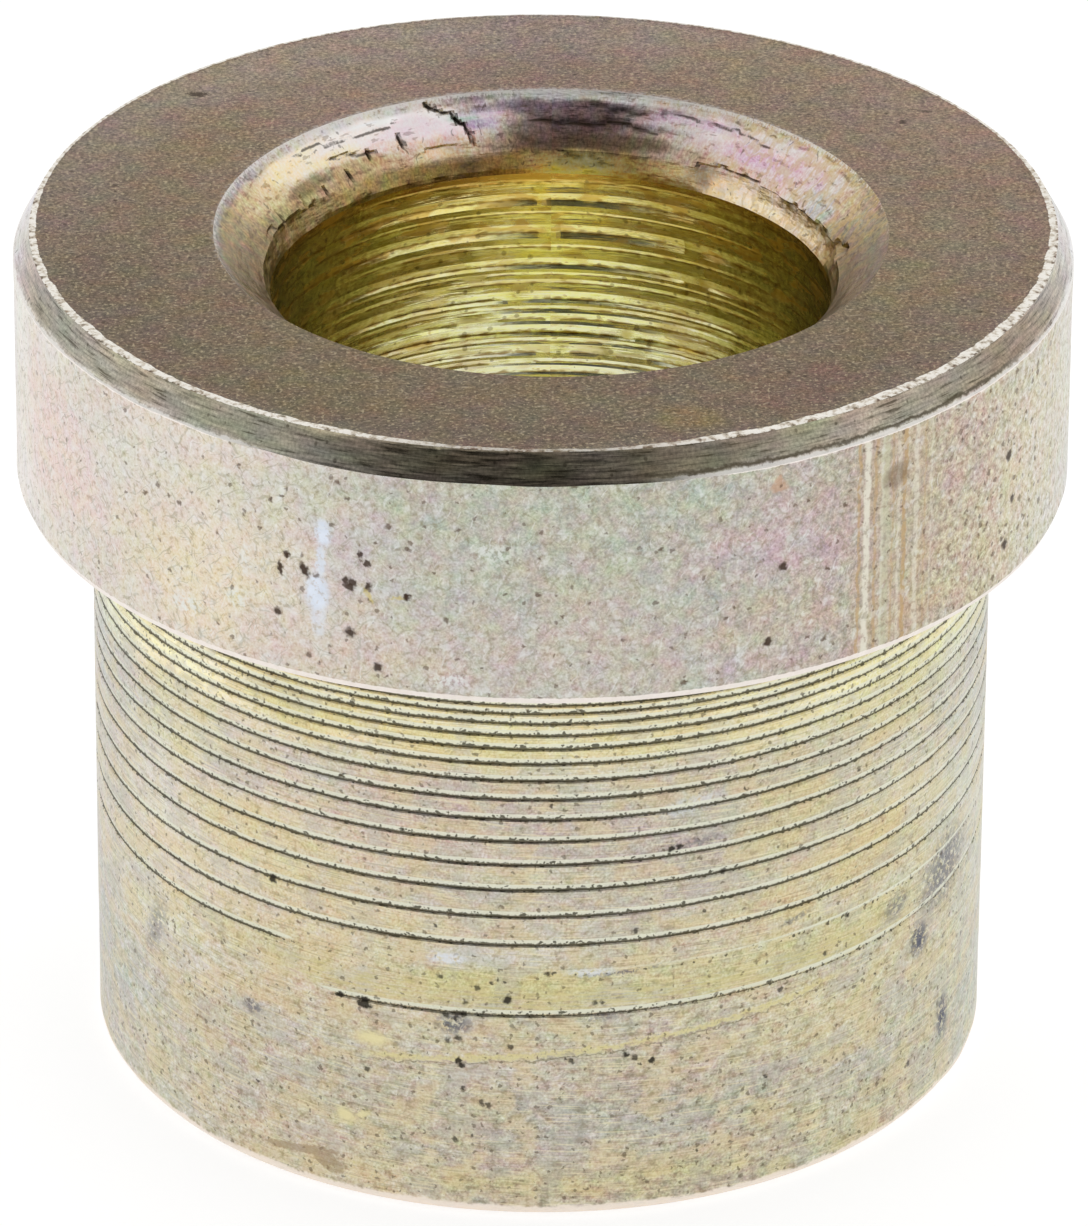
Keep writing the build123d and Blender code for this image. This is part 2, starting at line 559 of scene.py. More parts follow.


# In a DRIFT, a row is an angle and a colour. In PATCHES, a row is as in with_patches.
# The collar's drift is partly painted shading: lighter on the left side, darkest just right of the front.
COLLAR_DRIFT = [
    (-110, 0xE4DED8), (-75, 0xE8E2DA), (-55, 0xE0D6CB), (-38, 0xE1D7C8), (-20, 0xD2CABE), (-8, 0xC5C1B5),
    (6, 0xC4BFB1), (18, 0xC0BAB1), (30, 0xC2B6AC), (45, 0xC6B8A4), (56, 0xCEC3AD), (68, 0xD5CEBB),
    (82, 0xD8D5CA), (130, 0xD0C8B8), (180, 0xD8D0C2), (-145, 0xCECABE),
]
COLLAR_PATCHES = [
    (5, 21.6, 6, 1.3, 0.6, 0xBABCAA), (-8, 19.8, 2.6, 1.6, 0.4, 0xBEC0B4),
    (14, 17.6, 4.5, 1.1, 0.4, 0xC6BCB6), (26, 20.2, 2.2, 1.3, 0.7, 0xC8B4B6),
    (27, 18, 2, 0.9, 0.5, 0xC4B8A4), (-64, 19.6, 2.4, 2.2, 0.6, 0xE6D0C8),
    (-40, 18.2, 2.6, 1.3, 0.5, 0xE6DABE), (-28, 21.3, 2.4, 0.8, 0.5, 0xD0D0BE),
    (-20, 20.2, 1.6, 1.2, 0.5, 0xCEC4C4), (-22, 17.6, 3, 0.9, 0.5, 0xD8CABE),
    (-2, 17.8, 2.6, 1, 0.5, 0xCCC2B8), (-50, 21, 2.2, 1, 0.4, 0xDCDED6),
    (18, 19.2, 2.6, 0.9, 0.4, 0xB8BAAA), (33, 21, 0.9, 1, 0.5, 0xBEACA4),
    (52, 20.6, 1.2, 1.3, 0.5, 0xC6B2A6), (150, 19.5, 6, 2, 0.5, 0xC8CCBA), (-120, 20, 6, 2, 0.5, 0xDECCC2),
    (110, 18, 4, 2, 0.4, 0xD4C4BA),
]
# The shank's drift is partly painted shading too: lighter on the left side, darker just right of the front.
SHANK_DRIFT = [
    (-100, 0xCECCBE), (-75, 0xCECBBA), (-55, 0xD8D3BC), (-38, 0xD4CBB2), (-20, 0xD0C6AC), (0, 0xCAC1AA),
    (20, 0xC7BEA5), (38, 0xCCC6AA), (55, 0xD0CAAE), (78, 0xCECCBA), (110, 0xCCC8B6), (180, 0xD0C6AC),
    (-140, 0xCAC8B8),
]
SHANK_LEVELS = (0.8, 3, 5, 8, 12.6, 14.2)
SHANK_TINTS = (0xC7BCA7, 0xC0B8AA, 0xC8BEAC, 0xD0C5AE, 0xC8BEB0, 0xF0E6BE)
SHANK_PATCHES = [
    (-38, 10, 2, 0.9, 0.6, 0xDED0A2), (-52, 12.4, 1.6, 1.2, 0.6, 0xDCD4B0),
    (-30, 14.2, 2.6, 0.6, 0.7, 0xD8CC90), (-10, 13.9, 2.2, 0.5, 0.6, 0xDACC92),
    (14, 14.1, 2.6, 0.6, 0.6, 0xD8CE9E), (50, 13.4, 2, 1.2, 0.6, 0xD4CEA2),
    (34, 11.2, 1.6, 1, 0.6, 0xCEC296), (46, 9, 1.6, 1, 0.7, 0xD4C496), (30, 8.4, 1.6, 0.5, 0.6, 0xD4C292),
    (8, 11.2, 2.6, 0.7, 0.6, 0xC6B8B0), (-8, 12.2, 2.6, 0.8, 0.5, 0xCCBCB0),
    (18, 10.6, 1.8, 0.5, 0.5, 0xBEB2AA), (-12, 9.6, 1.8, 0.5, 0.5, 0xC0BCB2),
    (-8, 7.7, 1.8, 0.3, 0.6, 0xD4D4CA), (-25, 8.6, 2.6, 0.6, 0.6, 0xDECEA8),
    (12, 9.3, 2.4, 0.5, 0.5, 0xC4BAB2), (22, 7.9, 1.8, 0.4, 0.4, 0xCEBEAC),
    (-5, 7, 3.2, 0.35, 0.7, 0xCEC88E), (22, 6.9, 2.6, 0.5, 0.6, 0xCAC692),
    (42, 7.1, 2.2, 0.6, 0.6, 0xCCC894), (-38, 7, 2.6, 0.5, 0.5, 0xD0C698),
    (-30, 5.4, 2.2, 0.4, 0.4, 0xCCC0A8), (38, 4.6, 2.4, 1.2, 0.5, 0xD4CAA4), (8, 3, 3, 0.7, 0.5, 0xB8B6AA),
    (-16, 2.8, 2.4, 0.8, 0.4, 0xCCBEA0), (-48, 3.6, 2.4, 1.4, 0.4, 0xCEC0A4),
    (62, 3.2, 1.6, 1.8, 0.5, 0xCEC6A8), (5, 1, 4, 0.4, 0.6, 0xCCC092), (-55, 1.6, 2.4, 0.8, 0.4, 0xCCC0AA),
    (150, 8, 5, 2, 0.5, 0xD4C89C), (-140, 11, 5, 2, 0.5, 0xC4C4B6), (110, 4, 4, 2, 0.5, 0xD2CAAA),
]
FACE_INNER = [
    (0, 0x887760), (40, 0x8A7865), (75, 0x908168), (110, 0x988672), (180, 0x988173), (-150, 0x9E8878),
    (-110, 0x96826A), (-60, 0x897862), (-25, 0x867760),
]
FACE_OUTER = [
    (0, 0x827260), (40, 0x867463), (75, 0x8E7D6A), (110, 0x9C8676), (150, 0xA08C7C), (180, 0xA29088),
    (-145, 0xA69484), (-110, 0x9A8878), (-70, 0x847564), (-30, 0x84745F),
]
FACE_PATCHES = [
    (18, 12, 0.9, 0.7, 0.7, 0x968258), (-30, 11.5, 2, 1.2, 0.4, 0x8A7A58),
    (35, 11.8, 1.6, 1.1, 0.5, 0x886C60), (150, 11.5, 2.2, 1.2, 0.4, 0xA08E70),
    (-120, 10.5, 2, 1, 0.4, 0x968666), (100, 11, 1.8, 1.2, 0.4, 0x98806E), (-75, 11.8, 2, 1, 0.4, 0x82705C),
    (70, 10.4, 1.6, 0.9, 0.4, 0x968462),
]
# BEVEL_DRIFT and BEVEL_EDGE are painted reflection: the bevel is painted dark across the front, as a
# reflection of the dark surroundings near the camera, and light at the sides and the back. The white
# stretches of BEVEL_EDGE are painted highlights on the bevel's lower edge.
BEVEL_DRIFT = [
    (-130, 0xD6D0C8), (-108, 0xF0ECE8), (-90, 0xCAC2BE), (-72, 0xA09688), (-54, 0xACA494), (-36, 0xA09B89),
    (-18, 0xAAA08E), (-6, 0x968D7C), (0, 0x888070), (10, 0x7E7666), (20, 0x867E6E), (30, 0xA09886),
    (38, 0xB0A694), (54, 0x988D7A), (72, 0xA09588), (90, 0xC8C3C2), (120, 0xE2DCD2), (180, 0xB6AC9E),
]
BEVEL_EDGE = [
    (-120, 0xECE8E2), (-80, 0xD8D0CA), (-55, 0xCAC4BA), (-36, 0xC0BAAE), (-16, 0x968C7E), (-6, 0x787062),
    (0, 0x6C6458), (11, 0x6C665A), (19, 0xB4ACA0), (36, 0xF0E9E1), (60, 0xCEC6BC), (90, 0xF4F4F6),
    (180, 0xCEC6BA),
]
RIM_DRIFT = [
    (0, 0x96846C), (75, 0x988870), (102, 0xA8967A), (120, 0xC8B69C), (147, 0xBEB0A0), (165, 0xC8C2BA),
    (183, 0xC8C4BE), (194, 0x968A86), (204, 0xC4BCB6), (228, 0xD6CEC6), (250, 0xBEB6AC), (270, 0xACA4A2),
    (300, 0xA0907A),
]
# LIP_UPPER and LIP_LOWER are dark from about 165 to 190: a painted reflection of the dark surroundings near
# the camera, at the back of the lip.
LIP_UPPER = [
    (0, 0xAA987C), (75, 0x968468), (93, 0x9A8A6E), (104, 0xB2A48C), (114, 0xD0C4B6), (130, 0xDEC6C4),
    (147, 0xE0D2CC), (160, 0xBEACAA), (172, 0x806C6A), (184, 0x82706E), (192, 0xDCCCCC), (203, 0xECDCDC),
    (214, 0xF8ECEC), (226, 0xF4E6D6), (238, 0xF8EACE), (248, 0xE2CEA8), (260, 0xC0AA80), (275, 0xA89674),
    (300, 0xAA987C),
]
LIP_LOWER = [
    (0, 0x96846A), (75, 0x8A785E), (93, 0x928064), (104, 0x9C8C76), (114, 0xC4B096), (128, 0xDCC6B8),
    (142, 0xCEB6A4), (156, 0xB09C86), (166, 0x6A5640), (176, 0x584738), (186, 0x625042), (196, 0xC4AC96),
    (204, 0xD8BEA0), (214, 0xBAA07E), (230, 0xB8A07A), (246, 0xB2A276), (262, 0xA4926C), (282, 0x98866A),
]
LIP_LEDGE = [
    (0, 0xBEAC88), (90, 0xB09E7C), (101, 0xC4B28A), (112, 0xE6D2B0), (128, 0xEEDAC0), (142, 0xE8D0B2),
    (153, 0xCEB484), (163, 0xCDAC68), (171, 0xFCDC96), (179, 0xFCD68A), (187, 0x9E7E4A), (196, 0x705838),
    (204, 0x7A653C), (214, 0x8E784A), (225, 0xAA9464), (260, 0xB4A276),
]
# How much lighter or darker the whole lip is round the part
LIP_SHADE = (
    (0, 60, 92, 112, 150, 210, 236, 262, 284),
    (0.80, 0.72, 0.84, 1.10, 1.26, 1.26, 1.05, 0.88, 0.76),
)
LIP_PATCHES = [
    (-153, 22.72, 1.25, 0.20, 0.9, 0xF6E8EC), (-141, 22.86, 1.3, 0.13, 0.9, 0xFCF2EC),
    (-146, 22.50, 0.8, 0.12, 0.8, 0xF0D6CE), (-157, 22.36, 0.9, 0.12, 0.7, 0xE2C4B0),
    (-133, 22.62, 1.1, 0.12, 0.8, 0xFAECC8), (-122, 22.80, 1, 0.14, 0.8, 0xFAEAC4),
    (-112, 22.62, 0.9, 0.2, 0.6, 0xE2CCA0), (-138, 22.32, 0.9, 0.1, 0.7, 0xBEA67A),
    (-125, 22.36, 1.1, 0.12, 0.8, 0x8C7C58), (-163, 22.80, 0.4, 0.1, 0.9, 0xC4D8CE),
    (-166, 22.86, 0.8, 0.07, 0.8, 0xECD8E8), (-166, 22.64, 0.5, 0.1, 0.8, 0xBEAEC8),
    # the next four rows darken the back of the lip: a painted reflection of the dark surroundings near the
    # camera
    (-172, 22.95, 1.3, 0.10, 0.7, 0x826E78), (172, 22.95, 1.6, 0.10, 0.7, 0x7C6A70),
    (172, 22.62, 1.9, 0.16, 0.8, 0x5C4A48), (164, 22.30, 1.6, 0.14, 0.7, 0x5C4A3A),
    (150, 22.90, 1.3, 0.14, 0.7, 0xE2C8DC), (138, 22.56, 1.3, 0.22, 0.7, 0xE2C4D8),
    (124, 22.72, 1.1, 0.26, 0.6, 0xE0C4C8), (132, 22.98, 1, 0.1, 0.7, 0xE2DCD4),
    (116, 22.40, 0.6, 0.3, 0.6, 0xC8CCCE), (108, 22.8, 0.7, 0.25, 0.5, 0xCEB48C),
]
BORE_LEVELS = (16, 17.6, 19, 20.4, 21, 21.45)
BORE_TINTS = (0xFFFACA, 0xFEF7B4, 0xFBF0A6, 0xF9EB98, 0xF7E694, 0xE8BE70)


def collar_tone(angle, height, radius):
    tone = drifted(by_angle(angle, COLLAR_DRIFT), angle, height, 401, 22, 3.2, 0.035)
    tone = drifted(tone, angle, height, 404, 60, 1.1, 0.035)
    return with_patches(tone, angle, height, COLLAR, COLLAR_PATCHES)


def shank_tone(angle, height, radius):
    level = by_level(height, SHANK_LEVELS, even_tones(angle, SHANK_TINTS))
    tone = by_angle(angle, SHANK_DRIFT) * (level / linear(0xC8BFA8)) ** 0.8
    tone = drifted(tone, angle, height, 411, 20, 2, 0.04)
    tone = drifted(tone, angle, height, 414, 52, 0.6, 0.05)
    return with_patches(tone, angle, height, SHANK, SHANK_PATCHES)


def face_tone(angle, height, radius):
    """On the top face the place along the profile, here the radius, stands in for the height."""
    share = smooth(9.6, 12.6, radius)[:, None]
    tone = by_angle(angle, FACE_INNER) * (1 - share) + by_angle(angle, FACE_OUTER) * share
    tone = drifted(tone, angle, radius, 421, 24, 1.6, 0.05)
    return with_patches(tone, angle, radius, 11.5, FACE_PATCHES)


def bevel_tone(angle, height, radius):
    # Painted reflection from BEVEL_DRIFT, and near the lower edge from BEVEL_EDGE with its painted
    # highlights.
    tone = drifted(by_angle(angle, BEVEL_DRIFT), angle, height, 431, 60, 0.4, 0.08)
    edge = smooth(LENGTH - TOP_BEVEL[1] + 0.2, LENGTH - TOP_BEVEL[1] + 0.03, height)
    edge = edge * (0.75 + 0.25 * uneven(angle, height, 160, 434, 0.1))
    return tone + (by_angle(angle, BEVEL_EDGE) - tone) * edge[:, None]


def lip_tone(angle, height, radius):
    levels = (21.9, 22.12, 22.2, 22.75, 23.02, 23.14)
    ledge, lower = by_angle(angle, LIP_LEDGE), by_angle(angle, LIP_LOWER)
    upper, rim = by_angle(angle, LIP_UPPER), by_angle(angle, RIM_DRIFT)
    sway = height + 0.05 * uneven(angle, 0, 60, 441)
    tone = by_level(sway, levels, (ledge, lower, lower, upper, upper, rim))
    tone = tone * np.interp(angle, *LIP_SHADE, period=360)[:, None]
    tone = drifted(tone, angle, height, 442, 90, 0.3, 0.08)
    return with_patches(tone, angle, height, 8.3, LIP_PATCHES)


def bore_tone(angle, height, radius):
    tone = by_level(height, BORE_LEVELS, even_tones(angle, BORE_TINTS))
    # painted shade: the bore is darker at the sides, which mirror darker surroundings
    sideways = smooth(0.3, 0.8, np.abs(np.sin(np.radians(angle))))
    tone = tone * (1.05 - 0.45 * sideways)[:, None]
    tone = drifted(tone, angle, height, 451, 24, 0.5, 0.05)
    return drifted(tone, angle, height, 454, 60, 0.3, 0.05)


def foot_tone(angle, height, radius):
    (tone,) = even_tones(angle, [0xCAC2AA])
    return drifted(tone, angle, radius, 461, 30, 1.5, 0.05)


TONES = {
    "collar": collar_tone, "shank": shank_tone, "face": face_tone, "bevel": bevel_tone,
    "lip": lip_tone, "bore": bore_tone, "foot": foot_tone,
}


def read(items, name, kind=float, width=1):
    """One property of every item, as an array."""
    values = np.empty(len(items) * width, kind)
    items.foreach_get(name, values)
    return values


def paint_tones(mesh):
    """Puts each zone's tone on the corners of its faces."""
    place = read(mesh.vertices, "co", width=3).reshape(-1, 3) / MM
    angle = read(mesh.attributes["round"].data, "value") * 360 - 180
    corners = read(mesh.loops, "vertex_index", int)
    zones = np.repeat(read(mesh.polygons, "material_index", int), read(mesh.polygons, "loop_total", int))
    tones = np.ones((len(corners), 4))
    for number, zone in enumerate(ZONES):
        these = zones == number
        points = corners[these]
        x, y, height = place[points].T
        tones[these, :3] = TONES[zone](angle[points], height, np.hypot(x, y))
    layer = mesh.color_attributes.new("tone", "FLOAT_COLOR", "CORNER")
    layer.data.foreach_set("color", np.clip(tones, 0.001, 0.97).ravel())


# The mesh
def wrap_uv(mesh):
    """The skin rolled out: round the part across, along the profile up, cut at the back.

    It is kept twice, once for a bake and once for the materials to read.
    """
    corners = read(mesh.loops, "vertex_index", int)
    across, up = (read(mesh.attributes[name].data, "value")[corners] for name in ("round", "along"))
    starts = read(mesh.polygons, "loop_start", int)
    face = np.repeat(np.arange(len(starts)), read(mesh.polygons, "loop_total", int))
    widest = np.maximum.reduceat(across, starts)[face]
    highest = np.maximum.reduceat(up, starts)[face]
    across = np.where((widest > 0.75) & (across < 0.25), across + 1, across)
    up = np.where((highest > 0.9) & (up < 0.1), 1, up)
    for name in ("OFBake", ROLLED):
        mesh.uv_layers.new(name=name).data.foreach_set("uv", np.stack([across, up], 1).ravel())
    mesh.uv_layers.active = mesh.uv_layers["OFBake"]


def added(name, data):
    """A new object in the scene."""
    piece = bpy.data.objects.new(name, data)
    bpy.context.scene.collection.objects.link(piece)
    return piece


def make_skin():
    skin = Skin()
    rings = []
    for part in (bore_rings, lip_rings, face_rings, bevel_rings, collar_rings):
        rings += part(skin)
    skin.chain(rings)
    spiral(skin)
    skin.chain(foot_rings(skin))
    mesh = bpy.data.meshes.new("bushing_worn")
    mesh.from_pydata((np.concatenate(skin.points) * MM).tolist(), [], skin.faces)
    mesh.polygons.foreach_set("material_index", [ZONES.index(zone) for zone in skin.zones])
    for name in PAINTED:
        layer = mesh.attributes.new(name, "FLOAT", "POINT")
        layer.data.foreach_set("value", np.concatenate(skin.paint[name]).astype(float))
    work = bmesh.new()
    work.from_mesh(mesh)
    bmesh.ops.remove_doubles(work, verts=work.verts, dist=WELD * MM)
    bmesh.ops.recalc_face_normals(work, faces=work.faces)
    odd = sum(1 for edge in work.edges if not edge.is_manifold)
    print("skin: triangles", sum(len(face.verts) - 2 for face in work.faces), "odd edges", odd)
    limits = [math.radians(CRISP[zone]) for zone in ZONES]
    for edge in work.edges:
        edge.smooth = edge.calc_face_angle(0) < limits[edge.link_faces[0].material_index]
    work.to_mesh(mesh)
    work.free()
    mesh.polygons.foreach_set("use_smooth", [True] * len(mesh.polygons))
    wrap_uv(mesh)
    paint_tones(mesh)
    return added("bushing_worn", mesh)


# Materials
def put(value, socket):
    if isinstance(value, bpy.types.NodeSocket):
        socket.id_data.links.new(value, socket)
    else:
        socket.default_value = value


def add(tree, kind, values=None, output=0, **settings):
    """A new node, by its output. A setting is the node's own, and values go into its sockets."""
    node = tree.nodes.new("ShaderNode" + kind)
    for name, value in settings.items():
        setattr(node, name, value)
    for socket, value in (values or {}).items():
        put(value, node.inputs[socket])
    return node.outputs[output]


def maths(operation, first, second=0, third=0):
    return add(first.id_data, "Math", {0: first, 1: second, 2: third}, operation=operation)


def both(*masks):
    return functools.reduce(functools.partial(maths, "MULTIPLY"), masks)


def either(*masks):
    return functools.reduce(functools.partial(maths, "MAXIMUM"), masks)


def nearest(offs):
    return functools.reduce(functools.partial(maths, "MINIMUM"), offs)


def raised(value, amount, base):
    """The base and so much of a value."""
    return maths("MULTIPLY_ADD", value, amount, base)


def vector(operation, first, *others, output="Vector"):
    values = dict(enumerate((first, *others)))
    return add(first.id_data, "VectorMath", values, output, operation=operation)


def split(place, axis):
    return add(place.id_data, "SeparateXYZ", {0: place}, axis)


def ramp(value, start, end, low=0, high=1, kind="SMOOTHSTEP"):
    """A soft step from low to high as the value goes from start to end."""
    values = {"Value": value, "From Min": start, "From Max": end, "To Min": low, "To Max": high}
    return add(value.id_data, "MapRange", values, interpolation_type=kind)


def band(value, start, end, soft):
    """1 where the value is between start and end, with soft ends."""
    return both(ramp(value, start - soft, start + soft), ramp(value, end + soft, end - soft))


class Paint:
    """A metal's nodes. Places and sizes are in mm. Each call lays more on the colour held so far."""

    def __init__(self, name, radius=None):
        """Flat places are mm round the part from the front, and height, or x and y without a radius."""
        self.material = bpy.data.materials.new(name)
        self.material.use_nodes = True
        self.shader = self.material.node_tree.nodes["Principled BSDF"]
        self.shader.inputs["Metallic"].default_value = 1
        self.radius = radius
        place = self.add("TexCoord", output="Object")
        self.place = vector("MULTIPLY", place, (1 / MM, 1 / MM, 1 / MM))
        self.height = split(self.place, 2)
        self.flat = self.place
        if radius:
            turn = split(self.add("UVMap", uv_map=ROLLED), 0)
            whole = 2 * math.pi * radius
            self.across = raised(turn, whole, -whole / 2)
            self.flat = self.add("CombineXYZ", {0: self.across, 1: self.height})
        self.colour = self.attribute("tone", "Color")

    def add(self, kind, values=None, output=0, **settings):
        return add(self.material.node_tree, kind, values, output, **settings)

    def attribute(self, name, output="Fac"):
        return self.add("Attribute", output=output, attribute_name=name)

    def mix(self, share, first, second, blend="MIX"):
        values = {0: share, 6: first, 7: second}
        return self.add("Mix", values, 2, data_type="RGBA", blend_type=blend, clamp_result=True)

    def lay(self, mask, tint, strength=None):
        """Lays a tint over the colour where the mask is."""
        share = mask if strength is None else both(mask, strength)
        self.colour = self.mix(share, self.colour, (*linear(tint), 1))

    def grain(self, field, amount):
        """Shifts the brightness a little to either side."""
        self.colour = self.mix(amount, self.colour, field, "OVERLAY")

    def tints(self, size, amount, where=None):
        """Shifts every channel a little to either side, as thin plating shows."""
        self.grain(self.noise(size, 1, 0.55, where, "Color"), amount)

    def drawn(self, across, up=1, lean=0, base=None):
        """The flat places drawn out: patterns on them are that many times as long, leaning in degrees."""
        if lean == 0:
            return vector("MULTIPLY", base or self.flat, (1 / across, 1 / up, 0))
        return self.moved(base or self.flat, (0, 0, 0), (across, up, 1), lean)

    def moved(self, where, middle, size, lean=0):
        """Places seen from a middle, in steps of a size, leaning in degrees."""
        turn = (0, 0, math.radians(lean))
        values = {"Vector": where, "Location": middle, "Rotation": turn, "Scale": size}
        return self.add("Mapping", values, vector_type="TEXTURE")

    def noise(self, size, detail=1, roughness=0.55, where=None, output="Fac"):
        values = {"Vector": where or self.flat, "Scale": 1 / size, "Detail": detail, "Roughness": roughness}
        return self.add("TexNoise", values, output, noise_dimensions="2D")

    def shaken(self, reach, size):
        """The flat places pushed about by noise, which makes the marks put on them ragged."""
        shift = self.noise(size, 1, 0.6, output="Color")
        base = vector("SUBTRACT", self.flat, (reach / 2, reach / 2, 0))
        return vector("MULTIPLY_ADD", shift, (reach, reach, 0), base)

    def scratches(self, length, width, lean, least=0.70, base=None):
        """Thin strokes that taper at both ends, and bend where the places they lie on are shaken."""
        field = self.noise(1, 0, 0.5, self.drawn(length, width, lean, base))
        return ramp(field, least, least + 0.10)

    def cells(self, size, where, output, feature="F1"):
        values = {"Vector": where or self.flat, "Scale": 1 / size}
        return self.add("TexVoronoi", values, output, voronoi_dimensions="2D", feature=feature)

    def cracks(self, size, width, where=None):
        """Thin dark lines along the edges of irregular cells."""
        edge = self.cells(size, where, "Distance", "DISTANCE_TO_EDGE")
        return ramp(edge, width / size, 0.3 * width / size)

    def pits(self, size, share, largest=0.3, where=None):
        """Dots of random size in a share of the cells."""
        cell = self.cells(size, where, "Color")
        chance = self.add("SeparateColor", {0: cell})
        radius = self.add("MapRange", {"Value": chance, "From Min": 1 - share, "To Max": largest})
        return ramp(maths("SUBTRACT", radius, cell.node.outputs["Distance"]), -0.03, 0.07)

    def spot(self, angle, height):
        return (math.radians(angle) * self.radius, height, 0)

    def dots(self, groups, where, blur=0.35):
        """Spots at given places. Each size has a list of angles and heights."""
        masks = []
        for size, spots in groups.items():
            offs = [vector("DISTANCE", where, self.spot(*spot), output="Value") for spot in spots]
            masks.append(ramp(nearest(offs), size * (1 + blur), size * (1 - blur)))
        return either(*masks)

    def patches(self, rows, where, blur=0.4):
        """Long patches at given places. A row is angle, height, half width, half height, lean, strength."""
        masks = []
        for angle, height, half_width, half_height, lean, strength in rows:
            local = self.moved(where, self.spot(angle, height), (half_width, half_height, 1), lean)
            off = vector("DISTANCE", local, (0, 0, 0), output="Value")
            masks.append(ramp(off, 1 + blur, 1 - blur, 0, strength))
        return either(*masks)

    def bars(self, rows, place):
        """Upright lines at given places. A row is an angle, a half width and a strength."""
        masks = []
        for angle, half, strength in rows:
            off = maths("ABSOLUTE", maths("SUBTRACT", place, math.radians(angle) * self.radius))
            masks.append(ramp(off, half * 1.4, half * 0.6, 0, strength))
        return either(*masks)

    def finish(self, roughness, *bumps):
        """Relief comes from pairs of a field (0 to 1) and its height in mm."""
        put(self.colour, self.shader.inputs["Base Color"])
        put(roughness, self.shader.inputs["Roughness"])
        normal = {}
        for field, height in bumps:
            values = {"Height": field, "Distance": height * MM, "Strength": 1, **normal}
            normal = {"Normal": self.add("Bump", values)}
        put(normal["Normal"], self.shader.inputs["Normal"])
        return self.material


# Tints that more than one metal or mark takes
PIT_BROWN = 0x5C4838
STAIN = 0x423228
SOOT = 0x34302A
OLIVE_HAIR = 0x969276
CHALK = 0xEEF0EE

# Spots at given places, for each size: angles and heights
COLLAR_DEEP = {
    0.09: [(-27.6, 19.76), (-19.2, 20.17), (-18.4, 19.94), (-20.8, 19.36), (-18.3, 19.32), (-14.1, 19.15)],
    0.12: [(-28.7, 18.05), (-20.1, 19.34), (-17.2, 17.03), (26.1, 19.57), (24.5, 17.5), (60.9, 18.68)],
    0.14: [(-20.3, 17.9), (59.8, 20.03), (59.4, 17.5)],
}
COLLAR_SHALLOW = {
    0.05: [
        (-16.3, 16.8), (-23.9, 16.86), (-20.6, 21.69), (-28.1, 21.39), (-18.2, 18.9), (-3.7, 19.44),
        (2.3, 18.82), (-17.5, 20.56), (23, 19.48), (-33.4, 21.9), (-11.2, 19.9), (8.5, 18.1), (-36, 20.7),
        (-44.5, 18.9), (12.5, 20.6), (-8.6, 21.2), (19.6, 18.4), (-30.8, 20.3), (-6, 17.3), (29, 21.3),
        (31.5, 19.2),
    ],
    0.075: [
        (-27.5, 19.74), (-18.4, 19.2), (-14.1, 19.15), (-25, 17.02), (-21.7, 22.11), (-29.5, 21.19),
        (-46.8, 20.05), (-41.5, 20.22), (-16.1, 21.07), (-14.1, 20.52), (-0.3, 19.44), (-9.9, 18.6),
        (15.1, 16.73), (58.6, 17.73), (-24.1, 19.34), (33.6, 20.9), (31.2, 17.2), (50.5, 21.4),
    ],
}
# Scrapes up and down the wall, for each tint: angle, half width, strength
SCRAPES = {
    0xBE9E6E: [
        (35.4, 0.045, 0.6), (37.6, 0.05, 0.5), (39.9, 0.04, 0.35), (41.6, 0.07, 0.7), (44.6, 0.04, 0.3),
    ],
    0xE4E0D0: [
        (36.4, 0.10, 0.85), (38.5, 0.04, 0.4), (40.8, 0.05, 0.4), (43.3, 0.08, 0.5), (45.6, 0.04, 0.3),
    ],
    0xCACCB0: [(38.9, 0.12, 0.5)],
}


